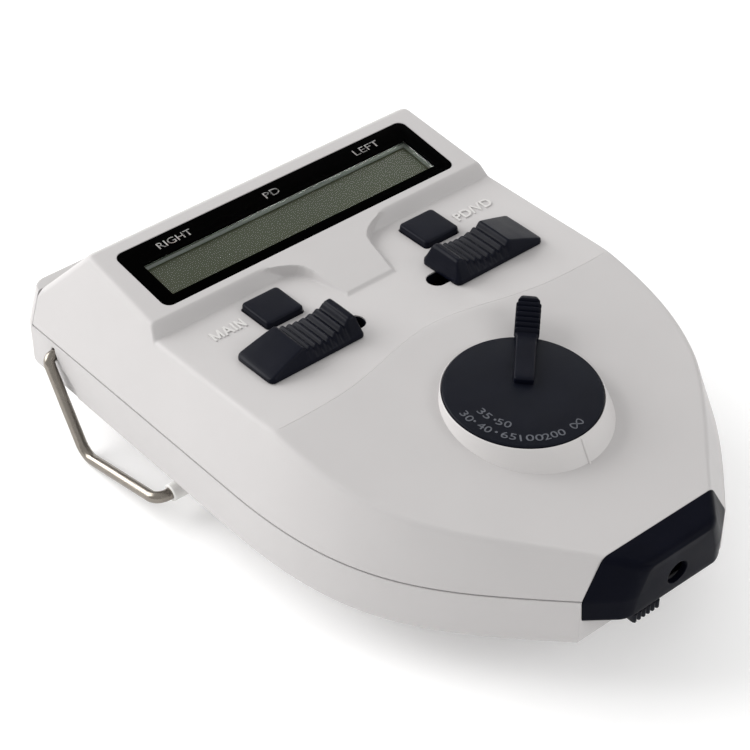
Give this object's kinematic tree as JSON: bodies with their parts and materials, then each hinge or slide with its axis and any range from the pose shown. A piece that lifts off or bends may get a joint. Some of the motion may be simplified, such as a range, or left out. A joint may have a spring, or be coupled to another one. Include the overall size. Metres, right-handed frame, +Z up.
{
  "type": "pupillary distance meter",
  "caption": "Handheld digital pupillary distance meter: wedge case with eyepiece nose, display, measuring slides, distance dial and folding wire bail.",
  "frame": {"origin": "centre of the bounding box's bottom face, under the folded bail's lowest point", "axes": "+Y from the examiner's eyepiece towards the patient, +X to the examiner's right, +Z up"},
  "size_m": [0.1672, 0.2302, 0.0737],
  "materials": {
    "body_plastic": "fine grain, warm off-white",
    "black_plastic": "fine grain",
    "white_plastic": "smooth",
    "satin_steel": "satin drawn wire",
    "clear_glass": "polished",
    "lcd_grey": "green-grey liquid crystal cell",
    "pcb_green": "solder resist",
    "rubber_black": "soft",
    "brass": "bright",
    "cell_jacket": "printed film, plain",
    "lamp_amber": "clear epoxy"
  },
  "bodies": {
    "case": {"upper_case": "body_plastic", "lower_case": "body_plastic", "display_bezel": "black_plastic", "display_window": "clear_glass", "lcd_panel": "lcd_grey", "main_board": "pcb_green", "battery_lead": "black_plastic", "left_switch": "black_plastic", "right_switch": "black_plastic", "slide_rod": "satin_steel", "scale_strip": "brass", "eyepiece_tube": "black_plastic", "eyepiece_lens": "clear_glass", "nose_cap": "black_plastic", "beam_splitter": "clear_glass", "fixation_lamp": "lamp_amber", "lamp_holder": "black_plastic", "collimating_lens": "clear_glass", "rear_window_left": "clear_glass", "rear_window_right": "clear_glass", "nose_pad": "rubber_black", "left_lens_rail": "satin_steel", "right_lens_rail": "satin_steel", "front_contact": "brass", "rear_contact": "brass", "inner_cell": "cell_jacket", "outer_cell": "cell_jacket", "left_bail_bushing": "white_plastic", "right_bail_bushing": "white_plastic", "case_screw_1": "satin_steel", "case_screw_2": "satin_steel", "case_screw_3": "satin_steel", "case_screw_4": "satin_steel", "left_foot": "rubber_black", "right_foot": "rubber_black"},
    "left_slider": {"left_slider_cap": "black_plastic", "left_carriage": "black_plastic", "left_hairline": "satin_steel"},
    "right_slider": {"right_slider_cap": "black_plastic", "right_carriage": "black_plastic", "right_hairline": "satin_steel"},
    "dial": {"dial_disc": "black_plastic", "dial_lever": "black_plastic", "dial_shaft": "satin_steel", "focus_cam": "white_plastic"},
    "focus": {"lens_carriage": "black_plastic", "focus_lens": "clear_glass"},
    "main_key": {"main_button": "black_plastic"},
    "mode_key": {"mode_button": "black_plastic"},
    "occluder": {"occluder_knob": "black_plastic", "occluder_shutter": "black_plastic"},
    "bail": {"bail_wire": "satin_steel", "bail_sleeve": "white_plastic"},
    "door": {"battery_door": "body_plastic"}
  },
  "joints": [
    {"name": "left_slide", "type": "slide", "parent": "case", "child": "left_slider", "axis": [-1, 0, 0], "range_m": [-0.0095, 0.009]},
    {"name": "right_slide", "type": "slide", "parent": "case", "child": "right_slider", "axis": [1, 0, 0], "range_m": [-0.0095, 0.009]},
    {"name": "dial_turn", "type": "hinge", "parent": "case", "child": "dial", "pos_m": [0, -0.0462, 0.06477], "axis": [0, -0.0542, 0.9985], "range_deg": [0, 100]},
    {"name": "lens_slide", "type": "slide", "parent": "case", "child": "focus", "axis": [0, 1, 0], "range_m": [0, 0.0121]},
    {"name": "main_press", "type": "slide", "parent": "case", "child": "main_key", "axis": [0, 0, -1], "range_m": [0, 0.0007], "stiffness_N_per_m": 400},
    {"name": "mode_press", "type": "slide", "parent": "case", "child": "mode_key", "axis": [0, 0, -1], "range_m": [0, 0.0007], "stiffness_N_per_m": 400},
    {"name": "occluder_slide", "type": "slide", "parent": "case", "child": "occluder", "axis": [1, 0, 0], "range_m": [0, 0.0205]},
    {"name": "bail_hinge", "type": "hinge", "parent": "case", "child": "bail", "pos_m": [0, 0.0966, 0.03202], "axis": [1, 0, 0], "range_deg": [0, 230]},
    {"name": "door_pull", "type": "slide", "parent": "case", "child": "door", "axis": [0, 0, -1], "range_m": [0, 0.02]}
  ],
  "couplings": [
    {"joint": "lens_slide", "follows": "dial_turn", "m_per_rad": 0.0068755}
  ]
}
